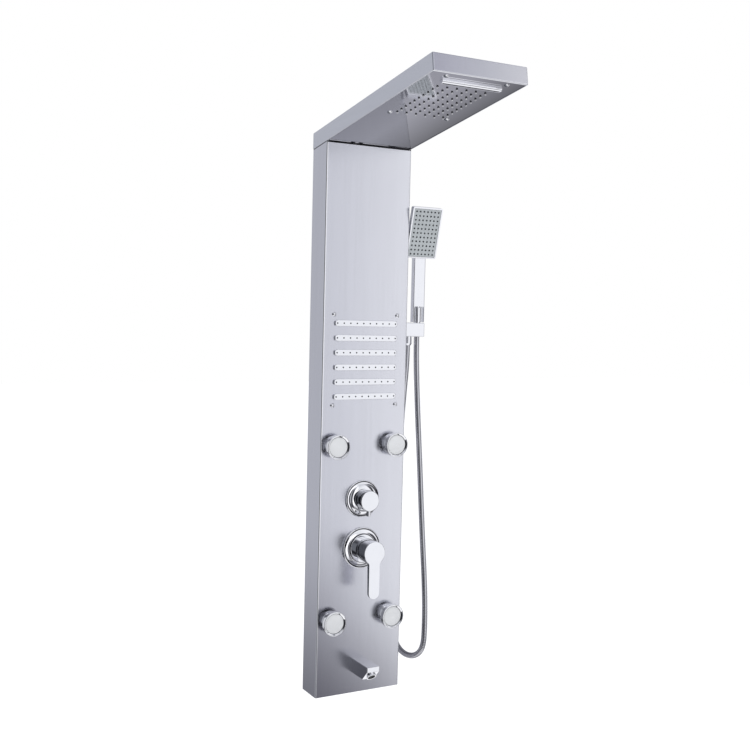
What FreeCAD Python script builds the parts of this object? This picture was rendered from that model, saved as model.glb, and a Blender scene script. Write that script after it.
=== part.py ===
"""Wall-hung shower panel column, millimetres.

The origin is the centre of the upper wall bracket's screw holes, on the wall plane y = 0.
+Z is up, -Y points out of the wall and +X is the side that carries the hand shower.
Heights are given above the column's bottom edge, and up() turns them into z.
"Out" is a distance in front of the column's front face, and behind it where negative.
"""
import FreeCAD, Part
import math
import os
from FreeCAD import Vector

os.makedirs("parts", exist_ok=True)

# ---------------------------------------------------------------- driving sizes
# sheet-metal column
column_width = 220.0
column_depth = 72.0
column_height = 1275.0
sheet = 1.2
fold_radius = 2.5
back_flange = 18.0
cap_flange = 14.0
cap_gap = 0.15
top_slot = 2.8

# overhead head, tilted up towards its front
head_tilt = 8.8
head_length = 453.0
head_thickness = 37.0
head_lip = 3.5
plate_gap = 0.5
plate_recess = 0.8
plate_start = 3.0
gusset_thickness = 3.0
gusset_reach = 120.0
gusset_drop = 85.0

# rain field under the head
rain_columns = 6
rain_rows = 10
rain_pitch_x = 22.5
rain_pitch_out = 17.5
rain_first_row = 224.0
nipple_radius = 2.4
nipple_tip_radius = 1.7
nipple_length = 3.8
nipple_gap = 0.2
mat_thickness = 1.5
chamber_margin = 7.0
chamber_height = 16.0
chamber_wall = 2.0

# waterfall blade
blade_width = 138.0
blade_depth = 11.0
blade_rounding = 5.0
blade_slot = 3.0
blade_wall_x = 3.5
blade_drop = 7.0
blade_front = 421.0
fall_box_width = 146.0
fall_box_depth = 26.0
fall_box_height = 29.0

# screws with domed heads, and the posts that they bite
head_screw_x = 70.0
head_screw_rows = (216.0, 435.0)
dome_radius = 5.6
dome_rise = 3.2
screw_radius = 2.0
screw_bite = 8.0
post_radius = 4.0
thread_gap = 0.05

# massage strips
strip_count = 6
strip_length = 163.0
strip_height = 15.0
strip_out = 5.0
strip_edge = 1.5
strip_pitch = 33.7
strip_top_height = 867.0
strip_holes = 10
strip_hole_pitch = 16.8
strip_hole_radius = 1.8
strip_boss_length = 156.0
strip_boss_height = 8.0
rubber_depth = 3.0
rubber_sunk = 0.6
strip_screw_x = 82.5
strip_screw_margin = 20.0
manifold_plate = 3.0
manifold_width = 184.0
plenum_depth = 9.0
plenum_height = 12.0
plenum_length = 168.0
feeder_width = 24.0
slot_gap = 0.2

# body jets
jet_x = 76.0
jet_heights = (177.5, 585.0)
jet_out = 28.0
jet_ring_radius = 28.5
jet_ring_depth = 11.0
jet_ring_edge = 1.8
jet_rim_radius = 26.4
jet_bevel = 3.4
jet_face_radius = 22.6
jet_face_sunk = 3.8
jet_face_inset = 6.0
jet_face_crown = 1.0
jet_pivot_out = 6.0
jet_ball_radius = 15.0
jet_ball_gap = 0.05
jet_socket_radius = 21.0
jet_socket_out = 10.0
jet_socket_back = 27.0
jet_collar_radius = 23.5
jet_collar_out = 3.0
jet_bore_radius = 9.0
jet_nut_radius = 27.0
jet_nut_depth = 6.0
jet_barb_radius = 4.2
jet_barb_back = 20.0

# diverter
diverter_height = 459.3
diverter_plate_radius = 43.5
diverter_plate_out = 9.0
diverter_neck_radius = 17.0
knob_radius = 23.6
knob_back_out = 10.5
knob_out = 41.5
knob_wall = 3.5
knob_peg_radius = 5.0
knob_peg_reach = 36.0
knob_peg_back = 7.5
spindle_radius = 4.0
spindle_tip_out = 32.0
cartridge_radius = 14.0
valve_block_x = 84.0
valve_block_z = 44.0
valve_block_y = 38.0
valve_block_back = 8.0

# mixer
valve_spacing = 115.6
mixer_height = diverter_height - valve_spacing
mixer_plate_radius = 48.5
mixer_plate_out = 12.0
mixer_step_radius = 34.0
mixer_body_radius = 26.0
mixer_body_back = 58.0
mixer_body_front = 12.0
mixer_tube_radius = 22.0
mixer_tube_out = 20.0
mixer_cartridge_radius = 17.5
mixer_cartridge_out = 14.0
mixer_guide_radius = 10.4
mixer_pivot_out = 22.0
mixer_pin_radius = 2.0
mixer_stem_x = 9.6
mixer_stem_z = 8.0
mixer_stem_out = 62.0
dome_sphere_radius = 25.0
dome_wall = 1.5
dome_mouth_radius = 17.0
cap_radius = 27.0
cap_bore_radius = 25.4
cap_back_out = 30.0
cap_out = 69.0
cap_roof = 11.0
paddle_width = 27.0
paddle_reach = 105.5
paddle_root_depth = 9.5
paddle_tip_depth = 6.0
paddle_neck_fillet = 6.0

# supply unions at the usual 150 mm centres, G 1/2
union_spacing = 150.0
union_back = 34.0
union_arm_radius = 10.0
union_elbow_radius = 13.0
union_tail_radius = 8.5
union_nut_flats = 26.0
union_nut_length = 17.0
union_wall_gap = 2.0
thread_bore_radius = 9.32
thread_length = 12.0

# bath spout
spout_height = 64.5
spout_width = 32.0
spout_tall = 34.0
spout_out = 75.5
spout_chamfer = 22.5
spout_edge = 1.6
spout_shank_radius = 10.0
spout_tail_radius = 6.0
spout_tail_x = 22.0
spout_shank_back = 22.0
aerator_radius = 11.5
aerator_depth = 9.0
aerator_proud = 4.5

# hand-shower outlet and holder on the right side wall
block_height = 854.5
block_tall = 33.0
block_reach = 52.5
block_depth = 36.0
block_y = -48.0
block_edge = 2.0
nipple_x = 126.0
holder_x = 151.5
seat_top_radius = 12.0
seat_bottom_radius = 9.6
seat_gap = 0.3
outlet_thread_radius = 9.0
outlet_thread_length = 9.0
shank_radius = 10.0
shank_inside = 20.0

# hand shower
handset_tilt = 14.5
handset_width = 81.0
handset_face_height = 121.5
handset_thickness = 12.5
handset_corner = 4.0
handset_back_edge = 2.5
handset_neck = 45.0
handset_face_y = -58.0
handset_rim = 3.6
handset_sunk = 0.5
handset_plate = 2.4
handset_mat = 2.0
handset_nozzle_columns = 7
handset_nozzle_rows = 11
handset_nozzle_pitch = 10.0
handset_nozzle_row_pitch = 10.1
handset_nozzle_first = 10.1
handset_face_gap = 0.5
handset_nozzle_radius = 1.95
handset_nozzle_proud = 0.6
handle_width = 32.0
handle_depth = 15.0
handle_y = -48.5
handle_edge = 3.0
handle_clear = 1.5
handle_bottom = block_height + block_tall / 2 + handle_clear
handle_length = 152.0
handset_face_bottom = handle_bottom + handle_length
handle_window_tall = 37.5
handle_window_top = handle_bottom + handle_window_tall
cheek = 3.0
connector_radius = 10.5
connector_clear = 2.0
connector_top = handle_window_top - connector_clear
connector_neck = 2.2
connector_neck_radius = 8.7
spigot_radius = 7.5
spigot_length = 12.0
cone_inside = 3.0
cone_bottom = block_height - block_tall / 2 + cone_inside

# shower hose and its nut on the outlet
hose_diameter = 14.0
hose_bore = 9.0
hose_nut_radius = 10.8
hose_nut_length = 22.0

# wall brackets and the hangers inside the column
hanger_height = 1150.0
lower_bracket_height = 110.0
bracket_width = 160.0
bracket_sheet = 2.0
bracket_tall = 30.0
bracket_hole_spacing = 120.0
bracket_slot_radius = 3.25
bracket_slot_length = 12.0
hook_step = 6.0
hook_rise = 14.0
hanger_sheet = 2.0
hanger_tall = 28.0
hanger_gap = 0.5

# inner pipes
pipe_radius = 5.0
pipe_back = 24.0
pipe_bend = 18.0
link_radius = 8.0
nut_across = 30.0
lock_nut_depth = 6.0


# ---------------------------------------------------------------- helpers
front_y = -column_depth
half_width = column_width / 2
inner_x = half_width - sheet
inner_y = front_y + sheet


def up(height):
    """z of a height above the column's bottom edge."""
    return height - hanger_height


def box(x_low, x_high, y_low, y_high, z_low, z_high):
    return Part.makeBox(x_high - x_low, y_high - y_low, z_high - z_low, Vector(x_low, y_low, z_low))


def rod(radius, start, end):
    """Cylinder between two points."""
    start = Vector(*start)
    along = Vector(*end) - start
    return Part.makeCylinder(radius, along.Length, start, along)


def soften(shape, radius, pick):
    """Round the edges that pick() accepts."""
    return shape.makeFillet(radius, [edge for edge in shape.Edges if pick(edge)])


def runs_along(edge, axis):
    """True for a straight edge parallel to axis."""
    if edge.Curve.TypeId != "Part::GeomLine":
        return False
    along = edge.tangentAt(edge.FirstParameter)
    return abs(abs(along.dot(axis)) - 1) < 1e-6


AXIS_X = Vector(1, 0, 0)
AXIS_Y = Vector(0, 1, 0)
AXIS_Z = Vector(0, 0, 1)


def face_of(outline, place):
    """Face inside an outline. An entry of four numbers is an arc: its middle, then its end."""
    edges = []
    here = place(*outline[0])
    for entry in outline[1:] + outline[:1]:
        there = place(*entry[-2:])
        if len(entry) == 4:
            edges.append(Part.Arc(here, place(*entry[:2]), there).toShape())
        else:
            edges.append(Part.LineSegment(here, there).toShape())
        here = there
    return Part.Face(Part.Wire(edges))


def corner(radius, out, rounding, inward=1, forward=1):
    """Rounded corner of a turned outline, from its side to its front."""
    middle = rounding * (1 - math.cos(math.pi / 4))
    return [
        (radius, out - forward * rounding),
        (radius - inward * middle, out - forward * middle, radius - inward * rounding, out),
    ]


def cap_arc(radius, rise):
    """Middle of the arc from a round cap's rim to its top: its radius, and its height over the rim."""
    sphere_radius = (radius ** 2 + rise ** 2) / (2 * rise)
    half_angle = math.asin(radius / sphere_radius) / 2
    middle_rise = rise - sphere_radius * (1 - math.cos(half_angle))
    return sphere_radius * math.sin(half_angle), middle_rise


def turned(outline, x, height):
    """Solid turned about an axis that points out of the column; outline holds (radius, out)."""
    face = face_of(outline, lambda radius, out: Vector(radius, -out, 0))
    solid = face.revolve(Vector(0, 0, 0), AXIS_Y, 360)
    solid.translate(Vector(x, front_y, up(height)))
    return solid


def turned_upright(outline, x, y):
    """Solid turned about a vertical axis; outline holds (radius, height)."""
    face = face_of(outline, lambda radius, height: Vector(radius, 0, up(height)))
    solid = face.revolve(Vector(0, 0, 0), AXIS_Z, 360)
    solid.translate(Vector(x, y, 0))
    return solid


def stadium(length, height, x, z_height, out_low, out_high):
    """Bar with round ends, lying along X."""
    radius = height / 2
    straight = length / 2 - radius
    low_left = Vector(-straight, 0, -radius)
    low_right = Vector(straight, 0, -radius)
    high_right = Vector(straight, 0, radius)
    high_left = Vector(-straight, 0, radius)
    edges = [
        Part.LineSegment(low_left, low_right).toShape(),
        Part.Arc(low_right, Vector(length / 2, 0, 0), high_right).toShape(),
        Part.LineSegment(high_right, high_left).toShape(),
        Part.Arc(high_left, Vector(-length / 2, 0, 0), low_left).toShape(),
    ]
    bar = Part.Face(Part.Wire(edges)).extrude(Vector(0, out_low - out_high, 0))
    bar.translate(Vector(x, front_y - out_low, up(z_height)))
    return bar


def bent_path(points, radii):
    """Wire of straight runs joined by tangent arcs; radii has one entry for each inner point."""
    points = [Vector(*point) for point in points]
    edges = []
    here = points[0]
    for before, bend, after, radius in zip(points, points[1:], points[2:], radii):
        arriving = (bend - before).normalize()
        leaving = (after - bend).normalize()
        turn = arriving.getAngle(leaving)
        trim = radius * math.tan(turn / 2)
        start = bend - arriving * trim
        end = bend + leaving * trim
        towards_centre = (leaving - arriving).normalize()
        middle = bend + towards_centre * (radius / math.cos(turn / 2) - radius)
        edges.append(Part.LineSegment(here, start).toShape())
        edges.append(Part.Arc(start, middle, end).toShape())
        here = end
    edges.append(Part.LineSegment(here, points[-1]).toShape())
    return Part.Wire(edges)


def tube_along(path, radius):
    """Round bar swept along a wire."""
    start = path.Edges[0]
    heading = start.tangentAt(start.FirstParameter)
    ring = Part.Wire(Part.makeCircle(radius, start.valueAt(start.FirstParameter), heading))
    return path.makePipeShell([ring], True, False)


def pipe(points, radius=pipe_radius, bend=pipe_bend):
    return tube_along(bent_path(points, [bend] * (len(points) - 2)), radius)


def hexagon_nut(flats, bore, length, centre, axis):
    """Hexagonal nut with a plain bore; centre is the middle of its first face."""
    reach = flats / 2 / math.cos(math.pi / 6)
    points = []
    for corner_number in range(7):
        angle = math.radians(60 * corner_number + 30)
        points.append(Vector(reach * math.cos(angle), reach * math.sin(angle), 0))
    nut = Part.Face(Part.makePolygon(points)).extrude(Vector(0, 0, length))
    nut = nut.cut(Part.makeCylinder(bore, length))
    nut.Placement = FreeCAD.Placement(Vector(*centre), FreeCAD.Rotation(AXIS_Z, Vector(*axis)))
    return nut


def fuse(pieces):
    return pieces[0].multiFuse(pieces[1:]).removeSplitter()


def group(pieces):
    return Part.makeCompound(pieces)


# ---------------------------------------------------------------- head placing
tilt = math.radians(head_tilt)


def head_place(shape):
    """Move a piece from the head's own frame: x, -Y forward along its underside, +Z square to it."""
    placed = shape.copy()
    placed.rotate(Vector(0, 0, 0), AXIS_X, -head_tilt)
    placed.translate(Vector(0, front_y, up(column_height)))
    return placed


def head_box(x_low, x_high, ahead_low, ahead_high, rise_low, rise_high):
    return box(x_low, x_high, -ahead_high, -ahead_low, rise_low, rise_high)


def head_point(x, ahead, rise):
    """Place of a point given in the head's own frame."""
    y = front_y - ahead * math.cos(tilt) + rise * math.sin(tilt)
    z = up(column_height) + ahead * math.sin(tilt) + rise * math.cos(tilt)
    return (x, y, z)


head_back_reach = column_depth / math.cos(tilt) + head_thickness
plate_bottom = plate_recess
plate_top = plate_recess + sheet
plate_half = half_width - head_lip - plate_gap
plate_end = head_length - head_lip - plate_gap
head_screw_places = [(x, ahead) for ahead in head_screw_rows for x in (-head_screw_x, head_screw_x)]
rain_places = []
for row in range(rain_rows):
    for column in range(rain_columns):
        rain_x = (column - (rain_columns - 1) / 2) * rain_pitch_x
        rain_places.append((rain_x, rain_first_row + row * rain_pitch_out))
rain_last_row = rain_first_row + (rain_rows - 1) * rain_pitch_out
chamber_half = (rain_columns - 1) / 2 * rain_pitch_x + chamber_margin
chamber_start = rain_first_row - chamber_margin
chamber_end = rain_last_row + chamber_margin

strip_heights = [strip_top_height - number * strip_pitch for number in range(strip_count)]
strip_screw_heights = (strip_heights[-1] - strip_screw_margin, strip_heights[0] + strip_screw_margin)
strip_screw_places = [(x, h) for h in strip_screw_heights for x in (-strip_screw_x, strip_screw_x)]
jet_places = [(x, h) for h in jet_heights for x in (-jet_x, jet_x)]


# ---------------------------------------------------------------- column
def column_shell():
    """Folded front, sides and return flanges, open at the back, cut to meet the tilted head.

    The front stops short of the head and leaves a narrow dark slot across the column.
    """
    top = up(column_height) + sheet
    outside = box(-half_width, half_width, front_y, 0, up(0), top)
    outside = soften(outside, fold_radius, lambda edge: runs_along(edge, AXIS_Z))
    inside = box(-inner_x, inner_x, inner_y, -sheet, up(0) - sheet, top + sheet)
    inside = soften(inside, fold_radius - sheet, lambda edge: runs_along(edge, AXIS_Z))
    gap_x = half_width - back_flange
    back_gap = box(-gap_x, gap_x, -2 * sheet, sheet, up(0) - sheet, top + sheet)
    above = head_place(head_box(-column_width, column_width, -2 * column_depth, column_depth,
                                0, column_depth))
    slot = box(-inner_x, inner_x, front_y - sheet, inner_y + fold_radius,
               up(column_height - top_slot), top + sheet)
    holes = [inside, back_gap, above, slot]
    for x, height in jet_places:
        holes.append(turned([(0, -sheet * 2), (jet_socket_radius + slot_gap, -sheet * 2),
                             (jet_socket_radius + slot_gap, sheet), (0, sheet)], x, height))
    for height, radius in ((diverter_height, diverter_neck_radius), (mixer_height, mixer_tube_radius),
                           (spout_height, spout_shank_radius)):
        holes.append(turned([(0, -sheet * 2), (radius + slot_gap, -sheet * 2),
                             (radius + slot_gap, sheet), (0, sheet)], 0, height))
    for height in strip_heights:
        holes.append(stadium(strip_boss_length + 2 * slot_gap, strip_boss_height + 2 * slot_gap,
                             0, height, -2 * sheet, sheet))
    for x, height in strip_screw_places:
        holes.append(rod(screw_radius + thread_gap, (x, front_y - sheet, up(height)),
                         (x, inner_y + sheet, up(height))))
    holes.append(rod(shank_radius + slot_gap, (inner_x - sheet, block_y, up(block_height)),
                     (half_width + sheet, block_y, up(block_height))))
    return outside.cut(holes)


def column_bottom():
    """Folded tray that closes the column's lower end."""
    reach_x = inner_x - cap_gap
    low_y = inner_y + cap_gap
    high_y = -sheet - cap_gap
    tray = box(-reach_x, reach_x, low_y, high_y, up(0), up(cap_flange))
    tray = soften(tray, fold_radius - sheet - cap_gap, lambda edge: runs_along(edge, AXIS_Z))
    hollow = box(-reach_x + sheet, reach_x - sheet, low_y + sheet, high_y - sheet,
                 up(sheet), up(cap_flange) + sheet)
    return tray.cut(hollow)


# ---------------------------------------------------------------- head
def behind_wall_skin(skin):
    """Everything further back than a skin's thickness in front of the wall plane."""
    return box(-column_width, column_width, -skin, column_depth * 2,
               up(column_height) - column_depth, up(column_height) + column_depth * 2)


def head_shell():
    """Folded head, closed at the top, front, sides and back, with a narrow lip round its underside."""
    outside = head_box(-half_width, half_width, -head_back_reach, head_length, 0, head_thickness)
    outside = outside.makeFillet(fold_radius, outside.Edges)
    outside = head_place(outside).cut(behind_wall_skin(0))
    inside = head_box(-inner_x, inner_x, -head_back_reach, head_length - sheet,
                      sheet, head_thickness - sheet)
    mouth = head_box(-half_width + head_lip, half_width - head_lip, 0, head_length - head_lip,
                     -sheet, 2 * sheet)
    neck = head_box(-inner_x, inner_x, -head_back_reach, 0, -sheet, 2 * sheet)
    hollow = fuse([inside, mouth, neck])
    hollow = head_place(hollow).cut(behind_wall_skin(sheet))
    return outside.cut(hollow)


def head_underplate():
    """Polished plate inside the lip, with the rain holes, the waterfall slot and screw holes."""
    plate = head_box(-plate_half, plate_half, plate_start, plate_end, plate_bottom, plate_top)
    holes = []
    for x, ahead in rain_places:
        holes.append(rod(nipple_radius + nipple_gap, (x, -ahead, 0), (x, -ahead, plate_top + sheet)))
    for x, ahead in head_screw_places:
        holes.append(rod(screw_radius + thread_gap, (x, -ahead, 0), (x, -ahead, plate_top + sheet)))
    holes.append(head_box(-blade_width / 2 - slot_gap, blade_width / 2 + slot_gap,
                          blade_front - blade_depth - slot_gap, blade_front + slot_gap,
                          0, plate_top + sheet))
    return head_place(plate.cut(holes))


def rain_chamber():
    """Tray upside down over the rain field, with a round inlet at its back."""
    outside = head_box(-chamber_half - chamber_wall, chamber_half + chamber_wall,
                       chamber_start - chamber_wall, chamber_end + chamber_wall,
                       plate_top, plate_top + chamber_height)
    inside = head_box(-chamber_half, chamber_half, chamber_start, chamber_end,
                      plate_top, plate_top + chamber_height - chamber_wall)
    return head_place(outside.cut(inside))


def rain_nozzles():
    """Soft mat that lies on the plate inside the chamber, with a nipple through each hole."""
    mat = head_box(-chamber_half, chamber_half, chamber_start, chamber_end,
                   plate_top, plate_top + mat_thickness)
    nipples = []
    for x, ahead in rain_places:
        nipples.append(Part.makeCone(nipple_radius, nipple_tip_radius, sheet + nipple_length,
                                     Vector(x, -ahead, plate_top), Vector(0, 0, -1)))
    return head_place(mat.multiFuse(nipples).removeSplitter())


def waterfall_blade():
    """Flat nozzle: a box in the head, and a mouth that stands below the underplate."""
    inner_half = blade_width / 2 - blade_wall_x
    middle = blade_front - blade_depth / 2
    chest = head_box(-fall_box_width / 2, fall_box_width / 2, middle - fall_box_depth / 2,
                     middle + fall_box_depth / 2, plate_top, plate_top + fall_box_height)
    lip = head_box(-blade_width / 2, blade_width / 2, blade_front - blade_depth, blade_front,
                   plate_bottom - blade_drop, plate_top)
    lip = soften(lip, blade_rounding, lambda edge: runs_along(edge, AXIS_X)
                 and edge.BoundBox.YMax < 1e-6 - blade_front and edge.BoundBox.ZMax < 0)
    slot_end = blade_front - blade_rounding
    slot = head_box(-inner_half, inner_half, slot_end - blade_slot, slot_end,
                    plate_bottom - blade_drop, plate_top + fall_box_height / 2)
    return head_place(fuse([chest, lip]).cut(slot))


def domed_screw():
    """Screw with a low dome, head down, its seat at z = 0 and its shank along +Z."""
    middle_radius, middle_rise = cap_arc(dome_radius, dome_rise)
    outline = [
        (0, screw_bite),
        (0, -dome_rise),
        (middle_radius, -middle_rise, dome_radius, 0),
        (screw_radius, 0),
        (screw_radius, screw_bite),
    ]
    return face_of(outline, lambda r, z: Vector(r, 0, z)).revolve(Vector(0, 0, 0), AXIS_Z, 360)


def head_screws():
    screws = []
    for x, ahead in head_screw_places:
        screw = domed_screw()
        screw.translate(Vector(x, -ahead, plate_bottom))
        screws.append(head_place(screw))
    return group(screws)


def head_posts():
    """Threaded posts under the head's top skin that the underplate's screws bite."""
    posts = []
    for x, ahead in head_screw_places:
        post = rod(post_radius, (x, -ahead, plate_top), (x, -ahead, head_thickness - sheet))
        bite = rod(screw_radius + thread_gap, (x, -ahead, plate_top),
                   (x, -ahead, plate_bottom + screw_bite))
        posts.append(head_place(post.cut(bite)))
    return group(posts)


def neck_gussets():
    """Two flat plates inside the side walls that tie the head to the column."""
    gussets = []
    margin = 3 * sheet
    for side in (-1, 1):
        x_low, x_high = sorted((side * inner_x, side * (inner_x - gusset_thickness)))
        arm = head_place(head_box(x_low, x_high, -column_depth + 6 * sheet, gusset_reach,
                                  margin, head_thickness - margin))
        leg = box(x_low, x_high, inner_y + margin, -2 * margin,
                  up(column_height - gusset_drop), up(column_height) + 2 * margin)
        gussets.append(fuse([arm, leg]))
    return group(gussets)


# ---------------------------------------------------------------- massage strips
def massage_strip(height):
    """Chrome bar with a row of holes, and a boss that fills the slot in the column."""
    bar = stadium(strip_length, strip_height, 0, height, 0, strip_out)
    bar = soften(bar, strip_edge,
                 lambda edge: abs(edge.BoundBox.YMin - (front_y - strip_out)) < 1e-6
                 and abs(edge.BoundBox.YMax - (front_y - strip_out)) < 1e-6)
    boss = stadium(strip_boss_length, strip_boss_height, 0, height, -sheet, 0)
    cavity = stadium(strip_boss_length - 2 * sheet, strip_boss_height - 2 * sheet, 0, height,
                     -sheet, -sheet + rubber_depth)
    holes = [cavity]
    for number in range(strip_holes):
        x = (number - (strip_holes - 1) / 2) * strip_hole_pitch
        holes.append(rod(strip_hole_radius, (x, front_y, up(height)),
                         (x, front_y - 2 * strip_out, up(height))))
    return fuse([bar, boss]).cut(holes)


def massage_rubbers():
    """One dark rubber bar in the back of each strip, with a nozzle in each of its holes."""
    bars = []
    bar_front = rubber_depth - sheet
    for height in strip_heights:
        bar = stadium(strip_boss_length - 2 * sheet - 2 * slot_gap,
                      strip_boss_height - 2 * sheet - 2 * slot_gap, 0, height, -sheet, bar_front)
        nozzles = []
        for number in range(strip_holes):
            x = (number - (strip_holes - 1) / 2) * strip_hole_pitch
            nozzles.append(rod(strip_hole_radius - thread_gap, (x, front_y - bar_front, up(height)),
                               (x, front_y - strip_out + rubber_sunk, up(height))))
        bars.append(bar.multiFuse(nozzles).removeSplitter())
    return group(bars)


def massage_manifold():
    """Plate behind the strips with a plenum for each one, joined by a feeder with an inlet."""
    back_y = inner_y + manifold_plate
    low = strip_heights[-1] - strip_screw_margin - plenum_height / 2
    high = strip_heights[0] + strip_screw_margin + plenum_height / 2
    pieces = [box(-manifold_width / 2, manifold_width / 2, inner_y, back_y, up(low), up(high))]
    for height in strip_heights:
        pieces.append(box(-plenum_length / 2, plenum_length / 2, back_y, back_y + plenum_depth,
                          up(height - plenum_height / 2), up(height + plenum_height / 2)))
    pieces.append(box(outlet_columns[2] - feeder_width / 2, outlet_columns[2] + feeder_width / 2,
                      back_y, pipe_y + feeder_width / 2,
                      up(strip_heights[-1] - plenum_height / 2), up(strip_heights[0])))
    holes = []
    for x, height in strip_screw_places:
        holes.append(rod(screw_radius + thread_gap, (x, inner_y, up(height)), (x, back_y, up(height))))
    return fuse(pieces).cut(holes)


def massage_screws():
    screws = []
    for x, height in strip_screw_places:
        screw = domed_screw()
        screw.rotate(Vector(0, 0, 0), AXIS_X, -90)
        screw.translate(Vector(x, front_y, up(height)))
        screws.append(screw)
    return group(screws)


# ---------------------------------------------------------------- body jets
def jet_socket(x, height):
    """Fixed socket through the column's front, with a ball seat and a barb for its pipe."""
    seat = jet_ball_radius + jet_ball_gap
    mouth = math.sqrt(seat ** 2 - (jet_socket_out - jet_pivot_out) ** 2)
    outline = [
        (0, -jet_socket_back),
        (jet_socket_radius, -jet_socket_back),
        (jet_socket_radius, 0),
        (jet_collar_radius, 0),
        (jet_collar_radius, jet_collar_out),
        (jet_socket_radius, jet_collar_out),
        (jet_socket_radius, jet_socket_out),
        (mouth, jet_socket_out),
        (seat, jet_pivot_out, jet_bore_radius, jet_pivot_out - math.sqrt(seat ** 2 - jet_bore_radius ** 2)),
        (jet_bore_radius, -jet_barb_back),
        (0, -jet_barb_back),
    ]
    body = turned(outline, x, height)
    side = math.copysign(1, x)
    barb_y = front_y + jet_barb_back
    barb = rod(jet_barb_radius, (x + side * jet_socket_radius / 2, barb_y + jet_barb_radius, up(height)),
               (jet_riser_x * side, barb_y + jet_barb_radius, up(height)))
    return fuse([body, barb])


def jet_head(x, height):
    """Ball and chrome ring that tilt together in the socket."""
    back = jet_out - jet_ring_depth
    ball_back = jet_pivot_out - jet_ball_radius * 0.6
    ball_back_radius = math.sqrt(jet_ball_radius ** 2 - (jet_pivot_out - ball_back) ** 2)
    root_radius = math.sqrt(jet_ball_radius ** 2 - (back - jet_pivot_out) ** 2)
    pocket = jet_out - jet_face_inset
    outline = [
        (0, ball_back),
        (ball_back_radius, ball_back),
        (jet_ball_radius, jet_pivot_out, root_radius, back),
        (jet_ring_radius - jet_ring_edge, back),
        (jet_ring_radius - jet_ring_edge * 0.29, back + jet_ring_edge * 0.29,
         jet_ring_radius, back + jet_ring_edge),
    ]
    outline += corner(jet_ring_radius, jet_out, jet_ring_edge)
    outline += [
        (jet_rim_radius, jet_out),
        (jet_face_radius + slot_gap, jet_out - jet_bevel),
        (jet_face_radius + slot_gap, pocket),
        (0, pocket),
    ]
    return turned(outline, x, height)


def jet_face(x, height):
    """Slightly crowned spray disc, sunk in the ring behind its bevel."""
    pocket = jet_out - jet_face_inset
    rim = jet_out - jet_face_sunk
    middle_radius, middle_rise = cap_arc(jet_face_radius, jet_face_crown)
    outline = [
        (0, pocket),
        (jet_face_radius, pocket),
        (jet_face_radius, rim),
        (middle_radius, rim + middle_rise, 0, rim + jet_face_crown),
    ]
    return turned(outline, x, height)


def jet_nuts():
    nuts = []
    for x, height in jet_places:
        nuts.append(turned([(jet_socket_radius + thread_gap, -sheet),
                            (jet_nut_radius, -sheet),
                            (jet_nut_radius, -sheet - jet_nut_depth),
                            (jet_socket_radius + thread_gap, -sheet - jet_nut_depth)], x, height))
    return group(nuts)


# ---------------------------------------------------------------- diverter
valve_block_front = -sheet - valve_block_back


def diverter_body():
    """Brass block with a neck through the column; pipes leave its top, sides and bottom."""
    front = front_y - valve_block_front
    block = box(-valve_block_x / 2, valve_block_x / 2, front, front + valve_block_y,
                up(diverter_height - valve_block_z / 2), up(diverter_height + valve_block_z / 2))
    block = soften(block, fold_radius, lambda edge: runs_along(edge, AXIS_Y))
    neck = turned([(0, valve_block_front), (diverter_neck_radius, valve_block_front),
                   (diverter_neck_radius, sheet), (0, sheet)], 0, diverter_height)
    bore = turned([(0, valve_block_front - valve_block_y / 2),
                   (cartridge_radius + thread_gap, valve_block_front - valve_block_y / 2),
                   (cartridge_radius + thread_gap, sheet * 2), (0, sheet * 2)], 0, diverter_height)
    return fuse([block, neck]).cut(bore)


def diverter_cartridge():
    back = valve_block_front - valve_block_y / 2
    return turned([(0, back), (cartridge_radius, back), (cartridge_radius, sheet * 3),
                   (spindle_radius + thread_gap, sheet * 3), (spindle_radius + thread_gap, back / 2),
                   (0, back / 2)], 0, diverter_height)


def diverter_spindle():
    back = (valve_block_front - valve_block_y / 2) / 2 + slot_gap
    return turned([(0, back), (spindle_radius, back), (spindle_radius, spindle_tip_out),
                   (0, spindle_tip_out)], 0, diverter_height)


def diverter_escutcheon():
    """Round dished cover plate, a thin shell with a groove inside its rim."""
    rim = diverter_plate_radius
    top = diverter_plate_out
    hole = diverter_neck_radius + slot_gap
    wall = sheet
    outline = [(rim - wall, 0), (rim, 0)]
    outline += corner(rim, 4.0, 2.0)
    outline += [
        (rim - 3.0, 3.1),
        (rim - 4.0, 4.15),
        (rim - 5.5, 4.4, rim - 9.0, 5.6),
        (rim - 14.0, 8.0, knob_radius - 1.0, top),
        (hole, top),
        (hole, top - wall),
        (knob_radius - 1.0, top - wall),
        (rim - 14.0, 8.0 - wall, rim - 9.0, 5.6 - wall),
        (rim - wall, 1.8),
    ]
    return turned(outline, 0, diverter_height)


def diverter_knob():
    """Cup-shaped knob with a round peg at its lower side."""
    inside = knob_radius - knob_wall
    roof = knob_out - knob_wall
    hub = spindle_radius * 2
    outline = [(inside, knob_back_out), (knob_radius, knob_back_out)]
    outline += corner(knob_radius, knob_out, 1.6)
    outline += [
        (0, knob_out),
        (0, spindle_tip_out),
        (spindle_radius + thread_gap, spindle_tip_out),
        (spindle_radius + thread_gap, knob_back_out + knob_wall),
        (hub, knob_back_out + knob_wall),
        (hub, roof),
        (inside, roof),
    ]
    cup = turned(outline, 0, diverter_height)
    peg_y = front_y - (knob_out - knob_peg_back)
    start = up(diverter_height) - knob_radius + knob_wall / 2
    peg = rod(knob_peg_radius, (0, peg_y, start), (0, peg_y, up(diverter_height) - knob_peg_reach))
    peg = soften(peg, 1.2, lambda edge: edge.BoundBox.ZMax < start - 1)
    return fuse([cup, peg])


# ---------------------------------------------------------------- mixer
union_y = front_y + union_back
union_x = union_spacing / 2


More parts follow.
